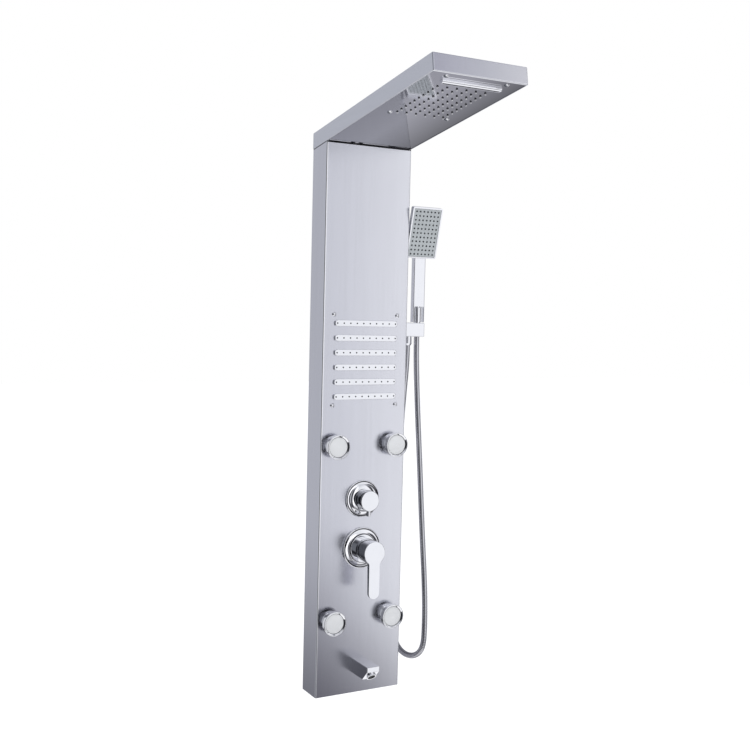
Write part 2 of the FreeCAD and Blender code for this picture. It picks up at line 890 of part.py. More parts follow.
def mixer_body():
    """Brass valve body, its tube through the column and an arm to each supply union."""
    back = -mixer_body_back
    outline = [
        (0, back),
        (mixer_body_radius, back),
        (mixer_body_radius, -mixer_body_front),
        (mixer_tube_radius, -mixer_body_front),
        (mixer_tube_radius, mixer_tube_out),
        (mixer_cartridge_radius + thread_gap, mixer_tube_out),
        (mixer_cartridge_radius + thread_gap, -mixer_body_front),
        (0, -mixer_body_front),
    ]
    arms = rod(union_arm_radius, (-union_x + union_elbow_radius, union_y, up(mixer_height)),
               (union_x - union_elbow_radius, union_y, up(mixer_height)))
    return fuse([turned(outline, 0, mixer_height), arms])


def mixer_cartridge():
    return turned([(0, -mixer_body_front), (mixer_cartridge_radius, -mixer_body_front),
                   (mixer_cartridge_radius, mixer_cartridge_out), (0, mixer_cartridge_out)],
                  0, mixer_height)


def mixer_nut():
    """Ring nut that holds the cartridge down in the tube."""
    return turned([(mixer_guide_radius + 0.1, mixer_cartridge_out),
                   (mixer_cartridge_radius, mixer_cartridge_out),
                   (mixer_cartridge_radius, mixer_tube_out),
                   (mixer_guide_radius + 0.1, mixer_tube_out)], 0, mixer_height)


def mixer_escutcheon():
    """Round cover plate with a raised inner ring and a groove inside its rim."""
    rim = mixer_plate_radius
    step = mixer_step_radius
    top = mixer_plate_out
    hole = mixer_tube_radius + slot_gap
    wall = sheet
    outline = [(rim - wall, 0), (rim, 0)]
    outline += corner(rim, 5.5, 2.4)
    outline += [
        (rim - 3.4, 4.5),
        (rim - 4.4, 5.65),
        (rim - 7.0, 5.9, step + 1.5, 7.5),
        (step + 0.4, 7.9, step, 9.0),
        (step - 0.8, 11.2, step - 3.0, top),
        (hole, top),
        (hole, top - wall),
        (step - 3.0 - wall, top - wall),
        (step - wall, 7.5 - wall),
        (rim - wall, 2.6),
    ]
    return turned(outline, 0, mixer_height)


def mixer_dome():
    """Chrome sleeve that ends in a part sphere about the lever's pivot."""
    outer = dome_sphere_radius
    inner = outer - dome_wall
    pivot = mixer_pivot_out
    mouth_outer = pivot + math.sqrt(outer ** 2 - dome_mouth_radius ** 2)
    mouth_inner = pivot + math.sqrt(inner ** 2 - dome_mouth_radius ** 2)
    angle = math.asin(dome_mouth_radius / outer)
    middle = (math.pi / 2 + angle) / 2
    outline = [
        (inner, mixer_plate_out),
        (outer, mixer_plate_out),
        (outer, pivot),
        (outer * math.sin(middle), pivot + outer * math.cos(middle), dome_mouth_radius, mouth_outer),
        (dome_mouth_radius, mouth_inner),
        (inner * math.sin(middle), pivot + inner * math.cos(middle), inner, pivot),
    ]
    return turned(outline, 0, mixer_height)


def mixer_turret():
    """Turning guide on the cartridge: a fork that carries the lever's pin."""
    reach = mixer_pivot_out + 3 * mixer_pin_radius
    guide = turned([(0, mixer_cartridge_out + slot_gap), (mixer_guide_radius, mixer_cartridge_out + slot_gap),
                    (mixer_guide_radius, reach), (0, reach)], 0, mixer_height)
    slot_half = mixer_stem_x / 2 + slot_gap
    slot = box(-slot_half, slot_half, front_y - reach - sheet, front_y - mixer_cartridge_out - sheet,
               up(mixer_height) - 2 * mixer_guide_radius, up(mixer_height) + 2 * mixer_guide_radius)
    pin_y = front_y - mixer_pivot_out
    hole = rod(mixer_pin_radius + thread_gap, (-mixer_guide_radius, pin_y, up(mixer_height)),
               (mixer_guide_radius, pin_y, up(mixer_height)))
    return guide.cut([slot, hole])


def mixer_pin():
    pin_y = front_y - mixer_pivot_out
    half = mixer_guide_radius - 1.0
    return rod(mixer_pin_radius, (-half, pin_y, up(mixer_height)), (half, pin_y, up(mixer_height)))


def mixer_stem():
    """Square lever post that rocks on the pin."""
    low = mixer_cartridge_out + 3 * sheet
    post = box(-mixer_stem_x / 2, mixer_stem_x / 2, front_y - mixer_stem_out, front_y - low,
               up(mixer_height) - mixer_stem_z / 2, up(mixer_height) + mixer_stem_z / 2)
    pin_y = front_y - mixer_pivot_out
    hole = rod(mixer_pin_radius + thread_gap, (-mixer_stem_x, pin_y, up(mixer_height)),
               (mixer_stem_x, pin_y, up(mixer_height)))
    return post.cut(hole)


def mixer_lever():
    """Round cap over the dome, with a flat paddle that hangs from its front."""
    roof = cap_out - cap_roof
    hub = 9.0
    hub_back = mixer_pivot_out + dome_sphere_radius + 2.0
    outline = [(cap_bore_radius, cap_back_out), (cap_radius, cap_back_out)]
    outline += corner(cap_radius, cap_out, 1.4)
    outline += [
        (0, cap_out),
        (0, hub_back),
        (hub, hub_back),
        (hub, roof),
        (cap_bore_radius, roof),
    ]
    cap = turned(outline, 0, mixer_height)

    # front view of the paddle: a strip with a round end, and a flare where it meets the cap
    half = paddle_width / 2
    z_axis = up(mixer_height)
    strip_end = z_axis - paddle_reach + half
    fillet = paddle_neck_fillet
    centre_x = half + fillet
    centre_z = z_axis - math.sqrt((cap_radius + fillet) ** 2 - centre_x ** 2)
    touch_x = centre_x * cap_radius / (cap_radius + fillet)
    touch_z = z_axis + (centre_z - z_axis) * cap_radius / (cap_radius + fillet)
    away = math.atan2(touch_z - centre_z, touch_x - centre_x)
    middle = (away + math.pi) / 2
    flare_x = centre_x + fillet * math.cos(middle)
    flare_z = centre_z + fillet * math.sin(middle)
    front_outline = [
        (-touch_x, z_axis),
        (-touch_x, touch_z),
        (-flare_x, flare_z, -half, centre_z),
        (-half, strip_end),
        (0, strip_end - half, half, strip_end),
        (half, centre_z),
        (flare_x, flare_z, touch_x, touch_z),
        (touch_x, z_axis),
    ]
    deep = front_y - cap_out
    front_view = face_of(front_outline, lambda x, z: Vector(x, deep, z))
    front_view = front_view.extrude(Vector(0, cap_roof, 0))
    # side view: the back tapers towards the tip
    side_outline = [
        (deep, z_axis),
        (deep + paddle_root_depth, z_axis),
        (deep + paddle_root_depth, z_axis - cap_radius),
        (deep + paddle_tip_depth, z_axis - paddle_reach),
        (deep, z_axis - paddle_reach),
    ]
    side_view = face_of(side_outline, lambda y, z: Vector(-cap_radius, y, z))
    side_view = side_view.extrude(Vector(2 * cap_radius, 0, 0))
    paddle = front_view.common(side_view)
    lever = fuse([cap, paddle])
    socket = box(-mixer_stem_x / 2, mixer_stem_x / 2, front_y - mixer_stem_out, front_y,
                 z_axis - mixer_stem_z / 2, z_axis + mixer_stem_z / 2)
    return lever.cut(socket)


def supply_union(side):
    """Elbow from the mixer's arm towards the wall, with a tail that the nut turns on."""
    x = side * union_x
    arm_end = side * (union_x - union_elbow_radius)
    tail_end = -union_wall_gap - thread_length
    return fuse([
        rod(union_elbow_radius, (x, union_y - union_elbow_radius, up(mixer_height)),
            (x, union_y + union_elbow_radius, up(mixer_height))),
        rod(union_arm_radius, (arm_end, union_y, up(mixer_height)), (x, union_y, up(mixer_height))),
        rod(union_tail_radius, (x, union_y, up(mixer_height)), (x, tail_end, up(mixer_height))),
    ])


def union_nuts():
    """Free-turning G 1/2 nuts, threaded towards the wall."""
    nuts = []
    for x in (-union_x, union_x):
        start = -union_wall_gap - union_nut_length
        nut = hexagon_nut(union_nut_flats, union_tail_radius + 0.1, union_nut_length,
                          (x, start, up(mixer_height)), (0, 1, 0))
        thread = rod(thread_bore_radius, (x, -union_wall_gap - thread_length, up(mixer_height)),
                     (x, -union_wall_gap, up(mixer_height)))
        nuts.append(nut.cut(thread))
    return group(nuts)


# ---------------------------------------------------------------- bath spout
def spout_body():
    """Square bar with a slanted mouth at its lower front, and a shank through the column."""
    half = spout_tall / 2
    outline = [
        (0, half),
        (spout_out, half),
        (spout_out, spout_chamfer - half),
        (spout_out - spout_chamfer, -half),
        (0, -half),
    ]
    bar = face_of(outline, lambda out, rise: Vector(-spout_width / 2, front_y - out,
                                                    up(spout_height) + rise))
    bar = bar.extrude(Vector(spout_width, 0, 0))
    bar = soften(bar, spout_edge, lambda edge: edge.BoundBox.YMin < front_y - sheet)
    shank = rod(spout_shank_radius, (0, front_y, up(spout_height)),
                (0, front_y + spout_shank_back, up(spout_height)))
    tail_y = front_y + spout_shank_back - spout_tail_radius - sheet
    tail = rod(spout_tail_radius, (0, tail_y, up(spout_height)),
               (spout_tail_x, tail_y, up(spout_height)))
    pocket = rod(aerator_radius + thread_gap, spout_mouth(-aerator_depth), spout_mouth(aerator_depth))
    return fuse([bar, shank, tail]).cut(pocket)


def spout_mouth(beyond):
    """Point on the mouth's axis, a distance beyond the slanted face."""
    slant = math.sqrt(0.5)
    middle_out = spout_out - spout_chamfer / 2
    middle_rise = spout_chamfer / 2 - spout_tall / 2
    return (0, front_y - middle_out - beyond * slant, up(spout_height) + middle_rise - beyond * slant)


def spout_aerator():
    """Ring with a mesh insert, standing a little out of the mouth."""
    ring = rod(aerator_radius, spout_mouth(-aerator_depth), spout_mouth(aerator_proud))
    recess = rod(aerator_radius - 2.2, spout_mouth(aerator_proud - 1.5), spout_mouth(aerator_proud + 1))
    return ring.cut(recess)


def lock_nuts():
    """Hexagonal nuts that clamp the spout and the hand-shower outlet from inside."""
    spout = hexagon_nut(nut_across, spout_shank_radius + thread_gap, lock_nut_depth,
                        (0, inner_y, up(spout_height)), (0, 1, 0))
    outlet = hexagon_nut(nut_across, shank_radius + thread_gap, lock_nut_depth,
                         (inner_x, block_y, up(block_height)), (-1, 0, 0))
    return group([spout, outlet])


# ---------------------------------------------------------------- hand-shower outlet and holder
block_bottom = block_height - block_tall / 2
block_top = block_height + block_tall / 2


def outlet_holder():
    """Chrome block on the side wall: water outlet below, tapered seat for the hand shower."""
    block = box(half_width, half_width + block_reach, block_y - block_depth / 2,
                block_y + block_depth / 2, up(block_bottom), up(block_top))
    block = soften(block, block_edge, lambda edge: edge.BoundBox.XMax > half_width + 1)
    shank = rod(shank_radius, (half_width, block_y, up(block_height)),
                (inner_x - shank_inside, block_y, up(block_height)))
    thread = rod(outlet_thread_radius, (nipple_x, block_y, up(block_bottom)),
                 (nipple_x, block_y, up(block_bottom - outlet_thread_length)))
    seat = turned_upright([(0, block_bottom), (seat_bottom_radius, block_bottom),
                           (seat_top_radius, block_top), (0, block_top)], holder_x, block_y)
    return fuse([block, shank, thread]).cut(seat)


# ---------------------------------------------------------------- hand shower
def handset_frame(shape):
    """Move a piece from the spray face's frame: -Y out of the face, Z up along it."""
    placed = shape.copy()
    placed.rotate(Vector(0, 0, 0), AXIS_X, handset_tilt)
    placed.translate(Vector(holder_x, handset_face_y, up(handset_face_bottom)))
    return placed


def handset_body():
    """Flat tilted head on a square handle; the handle's end is a fork round the connector."""
    half = handset_width / 2
    head = box(-half, half, 0, handset_thickness, 0, handset_face_height)
    head = soften(head, handset_corner, lambda edge: runs_along(edge, AXIS_Y))
    head = soften(head, handset_back_edge, lambda edge: edge.BoundBox.YMin > handset_thickness - 0.1)
    inset = box(-half + handset_rim, half - handset_rim, -1, handset_sunk + handset_plate + handset_mat,
                handset_rim, handset_face_height - handset_rim)
    head = handset_frame(head)
    inset = handset_frame(inset)
    low_x = holder_x - handle_width / 2
    high_x = holder_x + handle_width / 2
    handle_top = up(handset_face_bottom + handset_thickness)
    handle_back = handle_y + handle_depth / 2
    lean = math.tan(math.radians(handset_tilt))
    neck_tip_y = handset_face_y + handset_thickness - sheet - handset_neck * lean
    neck = face_of([(handle_back, 0), (handle_back, handset_thickness), (neck_tip_y, handset_neck),
                    (handset_face_y + handset_thickness - sheet, 0)],
                   lambda y, rise: Vector(low_x, y, up(handset_face_bottom) + rise))
    neck = neck.extrude(Vector(handle_width, 0, 0))
    handle = box(low_x, high_x, handle_y - handle_depth / 2, handle_y + handle_depth / 2,
                 up(handle_bottom), handle_top)
    handle = soften(handle, handle_edge, lambda edge: runs_along(edge, AXIS_Z))
    window_half = handle_width / 2 - cheek
    window = box(holder_x - window_half, holder_x + window_half, handle_y - handle_depth,
                 handle_y + handle_depth, up(handle_bottom) - 1, up(handle_window_top))
    spigot = rod(spigot_radius, (holder_x, block_y, up(handle_window_top)),
                 (holder_x, block_y, up(handle_window_top - spigot_length)))
    return fuse([handle.cut(window), head, neck, spigot]).cut(inset)


handset_nozzle_places = [
    ((column - (handset_nozzle_columns - 1) / 2) * handset_nozzle_pitch,
     handset_nozzle_first + row * handset_nozzle_row_pitch)
    for row in range(handset_nozzle_rows) for column in range(handset_nozzle_columns)
]


def handset_face():
    """Pale spray plate with its grid of nozzle holes."""
    half = handset_width / 2 - handset_rim - handset_face_gap
    low = handset_rim + handset_face_gap
    plate = box(-half, half, handset_sunk, handset_sunk + handset_plate, low, handset_face_height - low)
    holes = [rod(handset_nozzle_radius, (x, -1, z), (x, handset_sunk + handset_plate + 1, z))
             for x, z in handset_nozzle_places]
    return handset_frame(plate.cut(holes))


def handset_nozzle_mat():
    """Dark rubber mat behind the spray plate, with a nozzle through each of its holes."""
    half = handset_width / 2 - handset_rim - thread_gap
    low = handset_rim + thread_gap
    back = handset_sunk + handset_plate
    mat = box(-half, half, back, back + handset_mat, low, handset_face_height - low)
    nozzles = [rod(handset_nozzle_radius - thread_gap, (x, back, z),
                   (x, handset_sunk - handset_nozzle_proud, z)) for x, z in handset_nozzle_places]
    return handset_frame(mat.multiFuse(nozzles).removeSplitter())


def handset_connector():
    """Round nut in the fork that runs down into the cone of the hose end."""
    taper = (seat_top_radius - seat_bottom_radius) / block_tall
    cone_top_radius = seat_top_radius - seat_gap
    cone_bottom_radius = cone_top_radius - taper * (block_top - cone_bottom)
    outline = [
        (0, cone_bottom),
        (cone_bottom_radius, cone_bottom),
        (cone_top_radius, block_top),
        (connector_neck_radius, block_top),
        (connector_neck_radius, block_top + connector_neck),
        (connector_radius, block_top + connector_neck),
    ]
    middle = 1.5 * (1 - math.cos(math.pi / 4))
    outline += [
        (connector_radius, connector_top - 1.5),
        (connector_radius - middle, connector_top - middle, connector_radius - 1.5, connector_top),
        (spigot_radius + thread_gap, connector_top),
        (spigot_radius + thread_gap, handle_window_top - spigot_length),
        (0, handle_window_top - spigot_length),
    ]
    return turned_upright(outline, holder_x, block_y)


# ---------------------------------------------------------------- hose
outlet_end = block_bottom - outlet_thread_length / 2
hose_nut_bottom = outlet_end - hose_nut_length + outlet_thread_length / 2
hose_route = [
    (nipple_x, block_y, block_bottom - 21),
    (nipple_x, block_y, block_bottom - 58),
    (122.5, -45, block_bottom - 128),
    (121, -40, block_bottom - 193),
    (120, -29, 530),
    (121, -20, 390),
    (124, -14, 260),
    (128, -12, 160),
    (130, -13, 90),
    (139, -39, 63),
    (152, -75, 63),
    (161, -101, 90),
    (163, -102, 150),
    (163, -97, 240),
    (158, -86, 375),
    (155, -74, 520),
    (152, -62, cone_bottom - 191),
    (holder_x, block_y - 4, cone_bottom - 91),
    (holder_x, block_y, cone_bottom - 38),
    (holder_x, block_y, cone_bottom),
]


def hose_radii(points):
    """Largest arc that each point's two runs allow."""
    points = [Vector(*point) for point in points]
    radii = []
    for before, bend, after in zip(points, points[1:], points[2:]):
        turn = (bend - before).getAngle(after - bend)
        shorter = min((bend - before).Length, (after - bend).Length)
        radii.append(0.45 * shorter / math.tan(turn / 2))
    return radii


def shower_hose():
    """Hose with its bore, from the outlet nut down in a loop and up to the hand shower's cone."""
    points = [(x, y, up(height)) for x, y, height in hose_route]
    radii = hose_radii(points)
    path = bent_path(points, radii)
    print("hose length", round(path.Length, 1), "smallest arc radius", round(min(radii), 1))
    print("hose arc radii", [round(radius) for radius in radii])
    outside = tube_along(path, hose_diameter / 2)
    bore = tube_along(path, hose_bore / 2)
    hose = outside.cut(bore)
    section = math.pi * (hose_diameter ** 2 - hose_bore ** 2) / 4
    print("hose volume over section times length", round(hose.Volume / (section * path.Length), 5))
    return hose


def hose_nut():
    """Round knurl-free nut between the outlet's thread and the hose."""
    top = block_bottom - slot_gap
    bottom = hose_route[0][2]
    outline = [
        (0, bottom),
        (hose_diameter / 2 + 1.2, bottom),
        (hose_nut_radius, bottom + 5.0),
        (hose_nut_radius, top),
        (outlet_thread_radius + thread_gap, top),
        (outlet_thread_radius + thread_gap, block_bottom - outlet_thread_length),
        (0, block_bottom - outlet_thread_length),
    ]
    return turned_upright(outline, nipple_x, block_y)


# ---------------------------------------------------------------- wall brackets and hangers
def slot_cutter(x, height):
    """Horizontal slot through a bracket plate."""
    slot = stadium(bracket_slot_length, 2 * bracket_slot_radius, x, height,
                   -column_depth - bracket_sheet, -column_depth + 2 * bracket_sheet)
    return slot


def upper_wall_bracket():
    """Folded bracket: a plate on the wall, a shelf and an upturned hook."""
    half = bracket_width / 2
    z_low = -bracket_tall / 2
    shelf = bracket_tall / 2
    hook_y = -bracket_sheet - hook_step
    pieces = [
        box(-half, half, -bracket_sheet, 0, z_low, shelf),
        box(-half, half, hook_y - bracket_sheet, 0, shelf - bracket_sheet, shelf),
        box(-half, half, hook_y - bracket_sheet, hook_y, shelf - bracket_sheet, shelf + hook_rise),
    ]
    holes = [slot_cutter(x, hanger_height) for x in (-bracket_hole_spacing / 2, bracket_hole_spacing / 2)]
    return fuse(pieces).cut(holes)


def hanger_bars():
    """Bar inside the column that hooks over the upper bracket, and its plain twin lower down."""
    hook_y = -bracket_sheet - hook_step
    rest_z = bracket_tall / 2 + hook_rise
    half = bracket_width / 2 - 5
    bar_back = hook_y - bracket_sheet - hanger_gap
    bar_x = half_width - 4.0
    tab_x = half_width - back_flange + 2.0
    inner_drop_y = hook_y + hanger_gap
    pieces = [
        box(-bar_x, bar_x, bar_back - hanger_sheet, bar_back, rest_z + hanger_sheet - hanger_tall,
            rest_z + hanger_sheet),
        box(-half, half, bar_back, inner_drop_y + hanger_sheet, rest_z, rest_z + hanger_sheet),
        box(-half, half, inner_drop_y, inner_drop_y + hanger_sheet, bracket_tall / 2 + 2.0,
            rest_z + hanger_sheet),
    ]
    for side in (-1, 1):
        x_low, x_high = sorted((side * tab_x, side * (tab_x + hanger_sheet)))
        pieces.append(box(x_low, x_high, bar_back, -sheet, rest_z + hanger_sheet - hanger_tall,
                          rest_z + hanger_sheet))
    return fuse(pieces)


def lower_wall_bracket():
    """Plain locating bracket whose ears stand between the column's return flanges."""
    half = half_width - back_flange - slot_gap
    z_mid = up(lower_bracket_height)
    pieces = [box(-half, half, -bracket_sheet, 0, z_mid - bracket_tall / 2, z_mid + bracket_tall / 2)]
    for side in (-1, 1):
        x_low, x_high = sorted((side * half, side * (half - bracket_sheet)))
        pieces.append(box(x_low, x_high, -hook_step * 2, 0, z_mid - bracket_tall / 2,
                          z_mid + bracket_tall / 2))
    holes = []
    for x in (-bracket_hole_spacing / 2, bracket_hole_spacing / 2):
        holes.append(slot_cutter(x, lower_bracket_height))
    return fuse(pieces).cut(holes)


# ---------------------------------------------------------------- inner pipes
pipe_y = front_y + pipe_back
outlet_columns = (-30.0, -10.0, 10.0, 30.0)
jet_riser_x = inner_x - jet_barb_radius - slot_gap
valve_top = diverter_height + valve_block_z / 2
valve_bottom = diverter_height - valve_block_z / 2


def head_pipe(x, rise, ahead_end):
    """Riser from the diverter that turns forward into the head."""
    ahead = (front_y - pipe_y + rise * math.sin(tilt)) / math.cos(tilt)
    corner_point = head_point(x, ahead, rise)
    return pipe([(x, pipe_y, up(valve_top)), corner_point, head_point(x, ahead_end, rise)])


def rain_pipe():
    return head_pipe(outlet_columns[0], plate_top + chamber_height / 2, chamber_start - chamber_wall)


def waterfall_pipe():
    rise = plate_top + chamber_height + pipe_radius + 1.5
    middle = blade_front - blade_depth / 2
    return head_pipe(outlet_columns[1], rise, middle - fall_box_depth / 2)


def massage_pipe():
    x = outlet_columns[2]
    return rod(pipe_radius, (x, pipe_y, up(valve_top)),
               (x, pipe_y, up(strip_heights[-1] - plenum_height / 2)))


def handset_pipe():
    x = outlet_columns[3]
    return pipe([(x, pipe_y, up(valve_top)), (x, pipe_y, up(block_height)),
                 (inner_x - shank_inside, pipe_y, up(block_height))])


def jet_pipes():
    """On each side a riser between the two jets, fed from the diverter's side."""
    pipes = []
    riser_y = front_y + jet_barb_back + jet_barb_radius
    for side in (-1, 1):
        x = side * jet_riser_x
        riser = rod(jet_barb_radius, (x, riser_y, up(jet_heights[0]) - jet_barb_radius),
                    (x, riser_y, up(jet_heights[1]) + jet_barb_radius))
        feed = rod(jet_barb_radius, (side * valve_block_x / 2, riser_y, up(diverter_height)),
                   (x, riser_y, up(diverter_height)))
        sockets = [rod(jet_barb_radius, (side * (jet_x + jet_socket_radius), riser_y, up(height)),
                       (x, riser_y, up(height))) for height in jet_heights]
        pipes.append(fuse([riser, feed]).cut(sockets))
    return group(pipes)


def spout_pipe():
    x = valve_block_x / 2 - pipe_radius - 1.0
    y = front_y + spout_shank_back - spout_tail_radius - sheet
    return pipe([(x, y, up(valve_bottom)), (x, y, up(spout_height)),
                 (spout_tail_x, y, up(spout_height))], bend=pipe_radius * 1.6)


def link_pipe():
    """Short pipe that carries the mixed water up to the diverter."""
    body_top = mixer_height + math.sqrt(mixer_body_radius ** 2 - link_radius ** 2)
    pipe_solid = rod(link_radius, (0, union_y, up(mixer_height)), (0, union_y, up(valve_bottom)))
    core = rod(mixer_body_radius, (0, front_y, up(mixer_height)), (0, 0, up(mixer_height)))
    print("mixed water pipe, free length", round(valve_bottom - body_top, 1))
    return pipe_solid.cut(core)


# ---------------------------------------------------------------- write the pieces
nodes = {
    "column_shell": column_shell(),
    "column_bottom": column_bottom(),
    "head_shell": head_shell(),
    "head_underplate": head_underplate(),
    "rain_chamber": rain_chamber(),
    "rain_nozzles": rain_nozzles(),
    "waterfall_blade": waterfall_blade(),
    "head_screws": head_screws(),
    "head_posts": head_posts(),
    "neck_gussets": neck_gussets(),
    "massage_rubbers": massage_rubbers(),
    "massage_manifold": massage_manifold(),
    "massage_screws": massage_screws(),
    "jet_nuts": jet_nuts(),
    "diverter_body": diverter_body(),
    "diverter_cartridge": diverter_cartridge(),
    "diverter_spindle": diverter_spindle(),
    "diverter_escutcheon": diverter_escutcheon(),
    "diverter_knob": diverter_knob(),
    "mixer_body": mixer_body(),
    "mixer_cartridge": mixer_cartridge(),
    "mixer_nut": mixer_nut(),
    "mixer_escutcheon": mixer_escutcheon(),
    "mixer_dome": mixer_dome(),
    "mixer_turret": mixer_turret(),
    "mixer_pin": mixer_pin(),
    "mixer_stem": mixer_stem(),
    "mixer_lever": mixer_lever(),
    "supply_unions": group([supply_union(-1), supply_union(1)]),
    "union_nuts": union_nuts(),
    "spout_body": spout_body(),
    "spout_aerator": spout_aerator(),
    "lock_nuts": lock_nuts(),
    "outlet_holder": outlet_holder(),
    "handset_body": handset_body(),
    "handset_face": handset_face(),
    "handset_nozzle_mat": handset_nozzle_mat(),
    "handset_connector": handset_connector(),
    "shower_hose": shower_hose(),
    "hose_nut": hose_nut(),
    "upper_wall_bracket": upper_wall_bracket(),
    "hanger_bar": hanger_bars(),
    "lower_wall_bracket": lower_wall_bracket(),
    "valve_pipes": group([rain_pipe(), waterfall_pipe(), massage_pipe(), handset_pipe(), spout_pipe(),
                          link_pipe()]),
    "jet_pipes": jet_pipes(),
    "jet_sockets": group([jet_socket(x, height) for x, height in jet_places]),
}
for number, strip_height_above in enumerate(strip_heights, start=1):
    nodes["massage_strip_%d" % number] = massage_strip(strip_height_above)
jet_names = ("lower_left", "lower_right", "upper_left", "upper_right")
for jet_name, (x, height) in zip(jet_names, jet_places):
    nodes["jet_head_" + jet_name] = jet_head(x, height)
    nodes["jet_face_" + jet_name] = jet_face(x, height)

for name, shape in nodes.items():
    shape.exportStep("parts/%s.step" % name)
print(len(nodes), "nodes")
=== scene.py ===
import math

import bpy
from mathutils import Matrix, Vector


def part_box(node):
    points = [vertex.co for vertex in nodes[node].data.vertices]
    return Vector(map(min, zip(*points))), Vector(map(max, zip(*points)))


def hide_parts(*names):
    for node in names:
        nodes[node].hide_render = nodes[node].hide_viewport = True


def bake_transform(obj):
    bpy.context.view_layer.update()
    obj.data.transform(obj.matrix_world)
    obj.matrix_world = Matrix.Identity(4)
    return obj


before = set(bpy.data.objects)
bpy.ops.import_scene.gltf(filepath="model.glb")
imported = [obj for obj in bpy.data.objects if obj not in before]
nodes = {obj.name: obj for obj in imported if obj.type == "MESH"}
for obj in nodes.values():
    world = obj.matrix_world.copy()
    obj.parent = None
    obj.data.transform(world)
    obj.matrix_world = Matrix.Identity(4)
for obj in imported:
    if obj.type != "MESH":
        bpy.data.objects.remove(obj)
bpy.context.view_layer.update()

MM = 0.001
HANGER = 1.150  # the frame's origin above the column's bottom edge
COLUMN_HALF = 0.110  # half the column's width
COLUMN_FRONT = 0.072  # from the wall to the column's front
HEAD_FOOT = 1275  # millimetres up to where the plane of the head's lower edges meets that front
HEAD_LEAN = math.radians(8.8)
SOOT = (0.1, 0.1, 0.1, 1.0)  # what grime and grain darken a metal towards


def up(height_mm):
    """z in metres of a height in millimetres above the column's bottom edge."""
    return height_mm * MM - HANGER


def rgb(r, g, b):
    return (r, g, b, 1.0)


# ---------------------------------------------------------------- material helpers
class Graph:
    """Small helper that adds linked shader nodes."""

    def __init__(self, tree):
        self.tree = tree
        self.tree.nodes.clear()

    def add(self, kind, inputs=None, **settings):
        node = self.tree.nodes.new(kind)
        for key, value in settings.items():
            setattr(node, key, value)
        for key, value in (inputs or {}).items():
            if isinstance(value, bpy.types.NodeSocket):
                self.tree.links.new(value, node.inputs[key])
            else:
                node.inputs[key].default_value = value
        return node

    def math(self, operation, a, b=0.0, clamp=False):
        return self.add("ShaderNodeMath", {0: a, 1: b}, operation=operation, use_clamp=clamp).outputs[0]

    def spread(self, value, low, high, out_low, out_high, smooth=False):
        """The value's range from low to high, stretched to another one and clamped to it."""
        kind = "SMOOTHSTEP" if smooth else "LINEAR"
        return self.add("ShaderNodeMapRange", {0: value, 1: low, 2: high, 3: out_low, 4: out_high},
                        interpolation_type=kind).outputs[0]

    def mix(self, factor, a, b):
        """Colour a where the factor is 0 and colour b where it is 1."""
        return self.add("ShaderNodeMix", data_type="RGBA", inputs={0: factor, 6: a, 7: b}).outputs[2]

    def apart(self, vector):
        return tuple(self.add("ShaderNodeSeparateXYZ", {0: vector}).outputs)

    def spot(self):
        """x, y and z of the shaded point in the object's own frame."""
        return self.apart(self.add("ShaderNodeTexCoord").outputs["Object"])

    def facing(self):
        """x, y and z of the way that the surface faces."""
        return self.apart(self.add("ShaderNodeNewGeometry").outputs["Normal"])

    def place(self, scale=(1, 1, 1)):
        where = self.add("ShaderNodeTexCoord").outputs["Object"]
        return self.add("ShaderNodeMapping", {0: where, 3: scale}).outputs[0]

    def noise(self, where, scale, detail=2.0, roughness=0.5):
        return self.add("ShaderNodeTexNoise", {"Vector": where, "Scale": scale, "Detail": detail,
                                               "Roughness": roughness}).outputs[0]

    def ramp(self, value, stops):
        """Colour by a value; stops are (value, colour) in rising order."""
        low, high = stops[0][0], stops[-1][0]
        node = self.add("ShaderNodeValToRGB", {0: self.spread(value, low, high, 0.0, 1.0)})
        elements = node.color_ramp.elements
        while len(elements) < len(stops):
            elements.new(0.5)
        for element, (at, colour) in zip(elements, stops):
            element.position = (at - low) / (high - low)
            element.color = rgb(*colour)
        return node.outputs[0]

    def across(self, stops):
        """Colour across the object's width; stops are (millimetres to the right of its middle, colour)."""
        return self.ramp(self.spot()[0], [(at * MM, colour) for at, colour in stops])

    def rings(self, name, bands):
        """1 inside any of the bands of radius, in millimetres, round the front to back axis of a node."""
        x, _, z = self.spot()
        flat = self.add("ShaderNodeCombineXYZ", {0: x, 2: z}).outputs[0]
        low_corner, high_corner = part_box(name)
        middle = ((low_corner[0] + high_corner[0]) / 2, 0.0, (low_corner[2] + high_corner[2]) / 2)
        radius = self.add("ShaderNodeVectorMath", {0: flat, 1: middle}, operation="DISTANCE").outputs["Value"]
        soft_edge = 0.25
        total = 0.0
        for low, high in bands:
            off = self.math("ABSOLUTE", self.math("SUBTRACT", radius, (low + high) / 2 * MM))
            half = (high - low) / 2
            inside = self.spread(off, (half - soft_edge) * MM, (half + soft_edge) * MM, 1.0, 0.0, smooth=True)
            total = self.math("ADD", inside, total, clamp=True)
        return total

    def head_rise(self):
        """Metres above the plane of the head's lower edges, which leans up towards the front."""
        _, y, z = self.spot()
        return self.math(
            "ADD", self.math("MULTIPLY", self.math("ADD", y, COLUMN_FRONT), math.sin(HEAD_LEAN)),
            self.math("MULTIPLY", self.math("SUBTRACT", z, up(HEAD_FOOT)), math.cos(HEAD_LEAN)))

    def surface(self, colour, roughness, bump, **more):
        """A principled shader; bump is (strength, depth in metres, height)."""
        strength, depth, height = bump
        normal = self.add("ShaderNodeBump", {"Strength": strength, "Distance": depth, "Height": height})
        named = {key.replace("_", " "): value for key, value in more.items()}
        return self.add("ShaderNodeBsdfPrincipled", {
            "Base Color": colour, "Roughness": roughness, "Normal": normal.outputs[0], **named}).outputs[0]


def finish_material(name, build):
    material = bpy.data.materials.new(name)
    material.use_nodes = True
    graph = Graph(material.node_tree)
    shader = build(graph)
    graph.add("ShaderNodeOutputMaterial", {0: shader})
    return material


